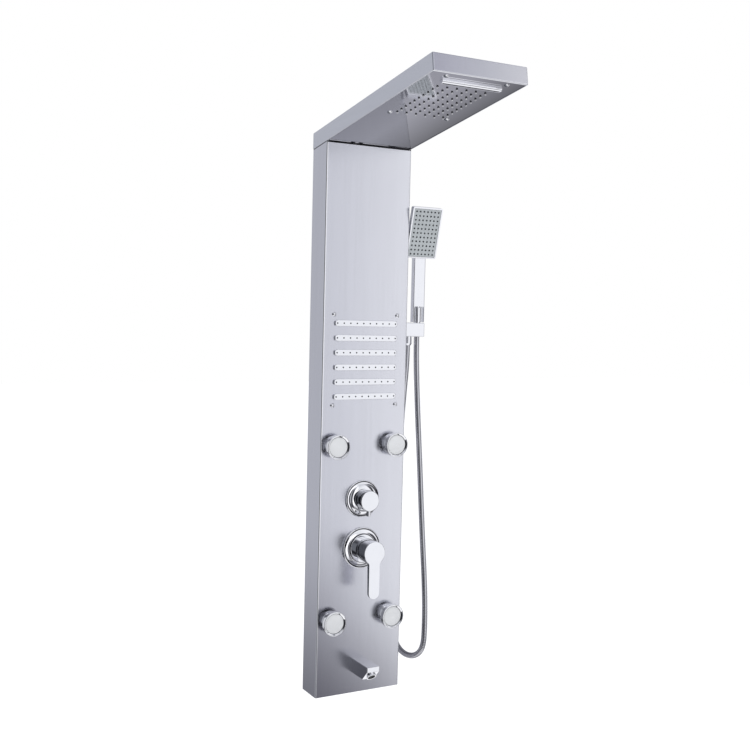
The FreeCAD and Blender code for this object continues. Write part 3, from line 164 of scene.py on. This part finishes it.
def grain_scale(axis, along, across):
    """Noise scale of a grain that runs along one axis."""
    return tuple(along if letter == axis else across for letter in "XYZ")


def brushed(name, stops, roughness, grain_axis, depth=0.05, anisotropic=0.4, low_tone=None):
    """Brushed stainless sheet: long fine grain, slow cloudiness and a soft sheen.

    low_tone is the colour of a painted shade that it falls to near the floor, and comes with a painted shadow
    line in the joint under the head.
    """

    def build(g):
        grain = g.noise(g.place(grain_scale(grain_axis, 14, 900)), 1.0, 3.0, 0.6)
        bands = g.noise(g.place(grain_scale(grain_axis, 3, 160)), 1.0, 2.0, 0.5)
        clouds = g.noise(g.place(), 5.0, 3.0, 0.55)
        rough = g.math("ADD", g.spread(grain, 0.3, 0.7, roughness - 0.02, roughness + 0.02),
                       g.spread(clouds, 0.3, 0.7, -0.015, 0.015))
        colour = g.mix(g.spread(bands, 0.3, 0.7, 0.03, 0.0), g.across(stops), SOOT)
        if low_tone:
            # painted shade: the fall to the low tone starts highest at the front's left edge and comes lower
            # to its right
            x, _, z = g.spot()
            front_start = -COLUMN_HALF + 0.004
            side_shift, left_shift, rise_to_right = -0.05, -0.127, 0.259
            slant = g.math("ADD", g.spread(x, -COLUMN_HALF, front_start, side_shift, left_shift),
                           g.spread(x, front_start, COLUMN_HALF, 0.0, rise_to_right))
            painted_shade_falloff = g.spread(g.math("ADD", z, slant), up(385), up(-195), 0.0, 1.0, smooth=True)
            colour = g.mix(painted_shade_falloff, colour, rgb(*low_tone))
            # a painted shadow line along the joint just under the head
            joint_shadow_bottom, joint_shadow_top = -0.0026, -0.0018
            joint_shadow = g.spread(g.head_rise(), joint_shadow_bottom, joint_shadow_top, 0.0, 0.85)
            colour = g.mix(joint_shadow, colour, rgb(0.04, 0.04, 0.05))
        return g.surface(colour, rough, (depth, 0.00008, grain), Metallic=1.0, Anisotropic=anisotropic)

    return finish_material(name, build)


def chrome(name, tone, roughness=0.05, right_tone=None, dark_rings=None, shaded_ends=None, dark_side=None):
    """Plated metal: nearly a mirror, with a faint orange peel and slight smudges.

    right_tone is a painted shade colour at the object's right edge, dark_rings the node and bands of its
    grooves, which get painted shade, shaded_ends the painted shade colour of what faces up or down, and
    dark_side (amount, start, end) paints shade on what faces left, from one x of the normal to another.
    """

    def build(g):
        smudge = g.noise(g.place(), 38.0, 4.0, 0.6)
        peel = g.noise(g.place(), 420.0, 2.0, 0.5)
        rough = g.spread(smudge, 0.35, 0.75, roughness, roughness + 0.035)
        # right_tone paints shade that changes the colour towards the right edge
        base = g.across(((-110, tone), (-20, tone), (110, right_tone))) if right_tone else rgb(*tone)
        colour = g.mix(g.spread(smudge, 0.3, 0.8, 0.0, 0.03), base, SOOT)
        # painted shade on what faces up or down
        if shaded_ends:
            upright = g.math("ABSOLUTE", g.facing()[2])
            colour = g.mix(g.spread(upright, 0.2, 0.75, 0.0, 1.0, smooth=True), colour, rgb(*shaded_ends))
        # painted shade on what faces left
        if dark_side:
            amount, start, end = dark_side
            x, y, _ = g.facing()
            left = g.spread(x, start, end, 0.0, amount, smooth=True)
            sideways = g.spread(g.math("ABSOLUTE", y), 0.45, 0.85, 1.0, 0.0, smooth=True)
            colour = g.mix(g.math("MULTIPLY", left, sideways), colour, rgb(0.06, 0.07, 0.09))
        # painted shade in the grooves
        if dark_rings:
            colour = g.mix(g.math("MULTIPLY", g.rings(*dark_rings), 0.9), colour, rgb(0.03, 0.03, 0.04))
        return g.surface(colour, rough, (0.02, 0.0001, peel), Metallic=1.0)

    return finish_material(name, build)


def plastic(name, tone, roughness=0.35, fleck=0.04, gloss=0.5):
    """Moulded plastic or rubber with a fine surface texture."""

    def build(g):
        cloud = g.noise(g.place(), 30.0, 3.0, 0.5)
        fine = g.noise(g.place(), 300.0, 2.0, 0.6)
        colour = g.mix(g.spread(cloud, 0.3, 0.7, 0.0, 1.0), rgb(*tone),
                       rgb(*[c * (1 - fleck * 2) for c in tone]))
        rough = g.spread(fine, 0.3, 0.7, roughness - 0.04, roughness + 0.05)
        return g.surface(colour, rough, (0.05, 0.0002, fine), Specular_IOR_Level=gloss)

    return finish_material(name, build)


def turned_metal(name, tone):
    """Machined or cast metal with a fine tooled texture and slight patches."""

    def build(g):
        patch = g.noise(g.place(), 45.0, 4.0, 0.6)
        tool = g.noise(g.place((30, 30, 900)), 1.0, 2.0, 0.5)
        colour = g.mix(g.spread(patch, 0.35, 0.7, 0.0, 1.0), rgb(*tone), rgb(*[c * 0.8 for c in tone]))
        rough = g.spread(patch, 0.3, 0.7, 0.22, 0.38)
        return g.surface(colour, rough, (0.1, 0.0002, tool), Metallic=1.0)

    return finish_material(name, build)


def soft_nozzle(name, root_tone):
    """Soft nozzles of the rain plate: dark where they leave it, pale towards their tips."""

    def build(g):
        root_end, tip_start = -0.0006, -0.0016
        tip = g.spread(g.head_rise(), root_end, tip_start, 0.0, 1.0, smooth=True)
        fine = g.noise(g.place(), 300.0, 2.0, 0.6)
        pale = g.mix(g.spread(fine, 0.3, 0.7, 0.0, 1.0), rgb(0.93, 0.93, 0.95), rgb(0.86, 0.86, 0.89))
        return g.surface(g.mix(tip, rgb(*root_tone), pale), 0.4, (0.05, 0.0002, fine))

    return finish_material(name, build)


# ---------------------------------------------------------------- materials
# painted highlight: a bright line beside the column's left fold; painted light also brightens the front
# towards its right edge, and low_tone paints shade towards the bottom
column_front = brushed("column brushed steel",
                       ((-110, (0.64, 0.645, 0.70)), (-108.2, (0.64, 0.645, 0.70)),
                        (-107.9, (0.95, 0.95, 0.97)), (-106.6, (0.95, 0.95, 0.97)),
                        (-106.2, (0.65, 0.655, 0.71)), (-60, (0.665, 0.67, 0.725)),
                        (110, (0.79, 0.795, 0.84))),
                       0.24, "Z", low_tone=(0.16, 0.157, 0.185))
# painted light and shade across the head's width: a darker band near its left edge and brighter towards its
# right
head_metal = brushed("head brushed steel",
                     ((-110, (0.65, 0.665, 0.72)), (-105, (0.50, 0.50, 0.57)), (0, (0.63, 0.635, 0.69)),
                      (110, (0.86, 0.86, 0.90))), 0.24, "Y")
bracket_tone = (0.52, 0.52, 0.54)
bracket = brushed("bracket steel", ((-110, bracket_tone), (110, bracket_tone)), 0.36, "X",
                  depth=0.15, anisotropic=0.2)
# painted shade: the underplate darkens towards its right edge
polished = chrome("polished underplate", (0.68, 0.68, 0.725), 0.05, right_tone=(0.17, 0.17, 0.185))
plating = (0.90, 0.905, 0.93)
plated = chrome("chrome plating", plating)
# painted shade darkens the left-facing sides of the plated controls and of the screws on the head
controls = chrome("plated controls", plating, dark_side=(0.72, -0.35, -0.80))
screw_steel = chrome("screw steel", (0.95, 0.955, 0.97), 0.08, dark_side=(0.93, 0.30, 0.0))
# painted shade darkens the hose where it faces up or down, as round the bottom of its loop
hose_metal = chrome("ribbed hose steel", (0.58, 0.58, 0.61), 0.06, shaded_ends=(0.20, 0.20, 0.22))
disc_pale = plastic("pale spray disc", (0.78, 0.79, 0.80), 0.42, 0.03)
plate_pale = plastic("pale spray plate", (0.56, 0.595, 0.61), 0.32, 0.03)
nozzle_soft = soft_nozzle("soft rain nozzle", (0.045, 0.045, 0.055))
rubber_dark = plastic("dark rubber", (0.014, 0.015, 0.019), 0.55, 0.1, gloss=0.3)
manifold_white = plastic("white moulding", (0.78, 0.78, 0.76), 0.42, 0.04)
cartridge_grey = plastic("cartridge plastic", (0.45, 0.47, 0.50), 0.4, 0.05)
pipe_dark = plastic("water pipe", (0.10, 0.10, 0.11), 0.3, 0.08)
brass = turned_metal("machined brass", (0.72, 0.50, 0.22))

finishes = {
    "column_shell": column_front, "column_bottom": column_front, "head_shell": head_metal,
    "head_underplate": polished, "rain_chamber": manifold_white, "rain_nozzles": nozzle_soft,
    "waterfall_blade": plated, "head_screws": screw_steel, "head_posts": bracket, "neck_gussets": bracket,
    "massage_rubbers": rubber_dark, "massage_manifold": manifold_white, "massage_screws": plated,
    "jet_nuts": brass, "diverter_body": brass, "diverter_cartridge": cartridge_grey,
    "diverter_spindle": brass, "diverter_knob": controls, "mixer_body": brass,
    "mixer_cartridge": cartridge_grey, "mixer_nut": brass, "mixer_dome": controls,
    "mixer_turret": cartridge_grey, "mixer_pin": bracket, "mixer_stem": brass, "mixer_lever": controls,
    "supply_unions": brass, "union_nuts": brass, "spout_body": plated, "spout_aerator": rubber_dark,
    "lock_nuts": brass, "outlet_holder": plated, "handset_body": plated, "handset_face": plate_pale,
    "handset_nozzle_mat": rubber_dark, "handset_connector": plated, "shower_hose": hose_metal,
    "hose_nut": plated, "upper_wall_bracket": bracket, "hanger_bar": bracket,
    "lower_wall_bracket": bracket, "valve_pipes": pipe_dark, "jet_pipes": pipe_dark,
    "jet_sockets": plated,
}
# the grooves of the round cover plates and of the jets' rings, as bands of radius in millimetres, which get
# painted shade
plate_grooves = {"diverter_escutcheon": ((38.8, 41.3),), "mixer_escutcheon": ((43.4, 46.1), (32.6, 34.4))}
for name, bands in plate_grooves.items():
    finishes[name] = chrome("chrome of " + name, plating, dark_rings=(name, bands))
jet_groove = ((22.0, 23.6),)
for name in nodes:
    if name.startswith("massage_strip_"):
        finishes[name] = plated
    elif name.startswith("jet_head_"):
        finishes[name] = chrome("chrome of " + name, (0.93, 0.935, 0.95), dark_rings=(name, jet_groove))
    elif name.startswith("jet_face_"):
        finishes[name] = disc_pale
for name, node in nodes.items():
    node.data.materials.clear()
    node.data.materials.append(finishes[name])

# the sheet's folds and the lip round the head's underside are smoother than its brushed faces
fold_metal = chrome("polished fold", (0.80, 0.81, 0.84), 0.06)
head_down = Vector((0, -math.sin(HEAD_LEAN), -math.cos(HEAD_LEAN)))
for name in ("column_shell", "head_shell"):
    shell = nodes[name]
    shell.data.materials.append(fold_metal)
    for polygon in shell.data.polygons:
        normal = polygon.normal
        front_fold = name == "column_shell" and abs(normal.x) > 0.12 and normal.y < -0.12
        lip = name == "head_shell" and normal.dot(head_down) > 0.25
        if front_fold or lip:
            polygon.material_index = 1

# the aerator is a plated ring round a dark mesh, on the spout's slanted mouth
aerator = nodes["spout_aerator"]
aerator.data.materials.append(plated)
mouth_reach = 0.06425  # from the column's front to the middle of the mouth
mouth = Vector((0, -COLUMN_FRONT - mouth_reach, up(58.75)))
mouth_axis = Vector((0, -1, -1)).normalized()
mesh_radius = 0.0092
for polygon in aerator.data.polygons:
    offset = aerator.matrix_world @ polygon.center - mouth
    if (offset - mouth_axis * offset.dot(mouth_axis)).length > mesh_radius:
        polygon.material_index = 1


# ---------------------------------------------------------------- hose
# control points in millimetres: x, y and the height above the column's bottom edge
hose_route = (
    (126, -48, 817), (126, -48, 780), (122.5, -45, 710), (121, -40, 645), (120, -29, 530),
    (121, -20, 390), (124, -14, 260), (128, -12, 160), (130, -13, 90), (139, -39, 63),
    (152, -75, 63), (161, -101, 90), (163, -102, 150), (163, -97, 240), (158, -86, 375),
    (155, -74, 520), (152, -62, 650), (151.5, -52, 750), (151.5, -48, 803), (151.5, -48, 841),
)
hose_points = [Vector((x * MM, y * MM, up(height))) for x, y, height in hose_route]
hose_diameter = 0.014
rib_profile = (0.5, 0.5, 0.468)  # shares of the diameter: two points on a rib, one in the groove beside it
rib_point_step = 0.0012
hose_sides = 20


def smooth_line(points, resolution):
    """Points along the NURBS line that has these control points."""
    curve = bpy.data.curves.new("line", "CURVE")
    curve.dimensions = "3D"
    curve.resolution_u = resolution
    spline = curve.splines.new("NURBS")
    spline.points.add(len(points) - 1)
    for target, point in zip(spline.points, points):
        target.co = (*point, 1.0)
    spline.order_u = 3
    spline.use_endpoint_u = True
    holder = bpy.data.objects.new("line", curve)
    mesh = bpy.data.meshes.new_from_object(holder)
    line = [vertex.co.copy() for vertex in mesh.vertices]
    bpy.data.objects.remove(holder)
    bpy.data.curves.remove(curve)
    bpy.data.meshes.remove(mesh)
    return line


def even_line(line, step):
    """The same line with its points about one step apart."""
    lengths = [0.0]
    for a, b in zip(line, line[1:]):
        lengths.append(lengths[-1] + (b - a).length)
    total = lengths[-1]
    count = int(round(total / step))
    even = []
    at = 0
    for number in range(count + 1):
        goal = total * number / count
        while at < len(line) - 2 and lengths[at + 1] < goal:
            at += 1
        span = lengths[at + 1] - lengths[at]
        share = (goal - lengths[at]) / span if span else 0.0
        even.append(line[at].lerp(line[at + 1], share))
    return even


def tube_mesh(name, line, radius_at, sides):
    """Closed tube round a line; radius_at gives the radius at each point's number."""
    verts = []
    faces = []
    normal = None
    for number, point in enumerate(line):
        ahead = line[min(number + 1, len(line) - 1)] - line[max(number - 1, 0)]
        ahead.normalize()
        if normal is None:
            normal = ahead.orthogonal().normalized()
        normal = (normal - ahead * normal.dot(ahead)).normalized()
        side = ahead.cross(normal)
        radius = radius_at(number)
        for corner in range(sides):
            angle = 2 * math.pi * corner / sides
            verts.append(point + (normal * math.cos(angle) + side * math.sin(angle)) * radius)
    for number in range(len(line) - 1):
        for corner in range(sides):
            after = (corner + 1) % sides
            faces.append((number * sides + corner, number * sides + after,
                          (number + 1) * sides + after, (number + 1) * sides + corner))
    faces.append(tuple(range(sides - 1, -1, -1)))
    faces.append(tuple((len(line) - 1) * sides + corner for corner in range(sides)))
    mesh = bpy.data.meshes.new(name)
    mesh.from_pydata([tuple(v) for v in verts], [], faces)
    mesh.update()
    for polygon in mesh.polygons:
        polygon.use_smooth = True
    piece = bpy.data.objects.new(name, mesh)
    bpy.context.scene.collection.objects.link(piece)
    return piece


hose_line = smooth_line(hose_points, 24)
hose = tube_mesh("ribbed_hose", even_line(hose_line, rib_point_step),
                 lambda number: hose_diameter * rib_profile[number % len(rib_profile)], hose_sides)
hose.data.materials.append(hose_metal)
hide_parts("shower_hose")
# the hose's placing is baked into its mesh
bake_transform(hose)

# ---------------------------------------------------------------- stage, light and camera
scene = bpy.context.scene
scene.view_settings.view_transform = "Standard"


def pale_floor(g):
    """White for the camera and keeping a soft shadow; clear from below, so that it hides nothing."""
    seen = g.add("ShaderNodeLightPath").outputs["Is Camera Ray"]
    lit = g.add("ShaderNodeBsdfDiffuse", {0: rgb(0.5104, 0.5104, 0.5162)}).outputs[0]
    glow = g.add("ShaderNodeEmission", {0: rgb(1, 1, 1), 1: g.math("MULTIPLY", seen, 0.66)}).outputs[0]
    white = g.add("ShaderNodeAddShader", {0: lit, 1: glow}).outputs[0]
    clear = g.add("ShaderNodeBsdfTransparent").outputs[0]
    behind = g.add("ShaderNodeNewGeometry").outputs["Backfacing"]
    return g.add("ShaderNodeMixShader", {0: behind, 1: white, 2: clear}).outputs[0]


floor_half, floor_height = 20.0, up(-700)
floor_mesh = bpy.data.meshes.new("floor")
floor_mesh.from_pydata([(floor_half * x, floor_half * y, floor_height)
                        for x, y in ((-1, -1), (1, -1), (1, 1), (-1, 1))], [], [(0, 1, 2, 3)])
floor = bpy.data.objects.new("floor", floor_mesh)
floor.data.materials.append(finish_material("plain pale floor", pale_floor))
floor.visible_glossy = False
scene.collection.objects.link(floor)


def area_light(name, place, target, size, power):
    light = bpy.data.lights.new(name, "AREA")
    light.shape = "RECTANGLE"
    light.size, light.size_y = size
    light.energy = power
    holder = bpy.data.objects.new(name, light)
    holder.location = place
    holder.rotation_euler = (Vector(target) - Vector(place)).to_track_quat("-Z", "Y").to_euler()
    holder.visible_glossy = False
    scene.collection.objects.link(holder)


area_light("key", (-1.9, -2.6, 1.9), (0, 0, -0.3), (1.6, 1.6), 45)
area_light("fill", (2.4, -2.2, 0.4), (0, 0, -0.4), (1.4, 2.2), 20)

# The studio, as metal sees it, by the compass angle from straight in front, positive to the right:
# a bright right side with one dark band, dark bands on the left and a grey wall behind.
# Above it is an even grey, below it darker, and the floor is white.
back_wall = (0.60, 0.61, 0.65)
dark_left = (0.035, 0.035, 0.042)
dark_right = (0.05, 0.05, 0.06)
lamp = (1.5, 1.5, 1.54)
studio = (
    (-180, back_wall), (-134, (0.64, 0.65, 0.69)), (-104, (0.46, 0.47, 0.50)), (-84, (0.40, 0.41, 0.44)),
    (-78, dark_left), (-46, dark_left), (-40, (0.40, 0.41, 0.44)), (-26, (0.42, 0.43, 0.46)),
    (-20, dark_left), (-8, (0.06, 0.06, 0.07)), (2, lamp), (8, lamp), (14, (0.82, 0.83, 0.86)),
    (24, (0.90, 0.915, 0.95)), (40, (1.05, 1.05, 1.09)), (47, dark_right), (66, dark_right),
    (76, (1.0, 1.0, 1.04)), (100, (0.86, 0.86, 0.89)), (134, (0.60, 0.60, 0.64)), (180, back_wall),
)
light_level = 0.88

world = bpy.data.worlds.new("studio")
scene.world = world
world.use_nodes = True
g = Graph(world.node_tree)
x, y, z = g.apart(g.add("ShaderNodeTexCoord").outputs["Generated"])
compass = g.spread(g.math("ARCTAN2", x, g.math("MULTIPLY", y, -1.0)), -math.pi, math.pi, -180.0, 180.0)
above = g.spread(z, 0.25, 0.75, 0.0, 0.85, smooth=True)
tone = g.mix(above, g.ramp(compass, studio), rgb(0.62, 0.63, 0.68))
below = g.spread(z, -0.32, -0.50, 0.0, 0.8, smooth=True)
low_tone = g.mix(g.spread(y, -0.2, 0.3, 0.0, 1.0), rgb(0.05, 0.05, 0.06), rgb(0.34, 0.34, 0.38))
tone = g.mix(below, tone, low_tone)
floor_glow = g.spread(z, -0.62, -0.74, 0.0, 0.95, smooth=True)
tone = g.mix(floor_glow, tone, rgb(1.05, 1.05, 1.08))
paths = g.add("ShaderNodeLightPath").outputs
glossy_look = g.add("ShaderNodeBackground", {0: tone, 1: 1.0}).outputs[0]
soft_light = g.add("ShaderNodeBackground", {0: rgb(0.96, 0.97, 1.0), 1: light_level}).outputs[0]
backdrop = g.add("ShaderNodeBackground", {0: rgb(1, 1, 1), 1: 1.0}).outputs[0]
shown = g.add("ShaderNodeMixShader", {0: paths["Is Glossy Ray"], 1: soft_light, 2: glossy_look}).outputs[0]
straight = g.math("MAXIMUM", paths["Is Camera Ray"], paths["Is Transmission Ray"])
shown = g.add("ShaderNodeMixShader", {0: straight, 1: shown, 2: backdrop}).outputs[0]
g.add("ShaderNodeOutputWorld", {0: shown})

# the photograph's camera, as its straight edges give it
lens = bpy.data.cameras.new("camera")
lens.sensor_width = 36.0
lens.lens = 50.18
camera = bpy.data.objects.new("camera", lens)
turn = Matrix(((0.877583, 0.006504, -0.479382),
               (-0.478827, 0.061828, -0.875729),
               (0.023943, 0.998066, 0.057373)))
camera.matrix_world = Matrix.Translation((-1.1412, -2.2059, up(887.5))) @ turn.to_4x4()
scene.collection.objects.link(camera)
scene.camera = camera
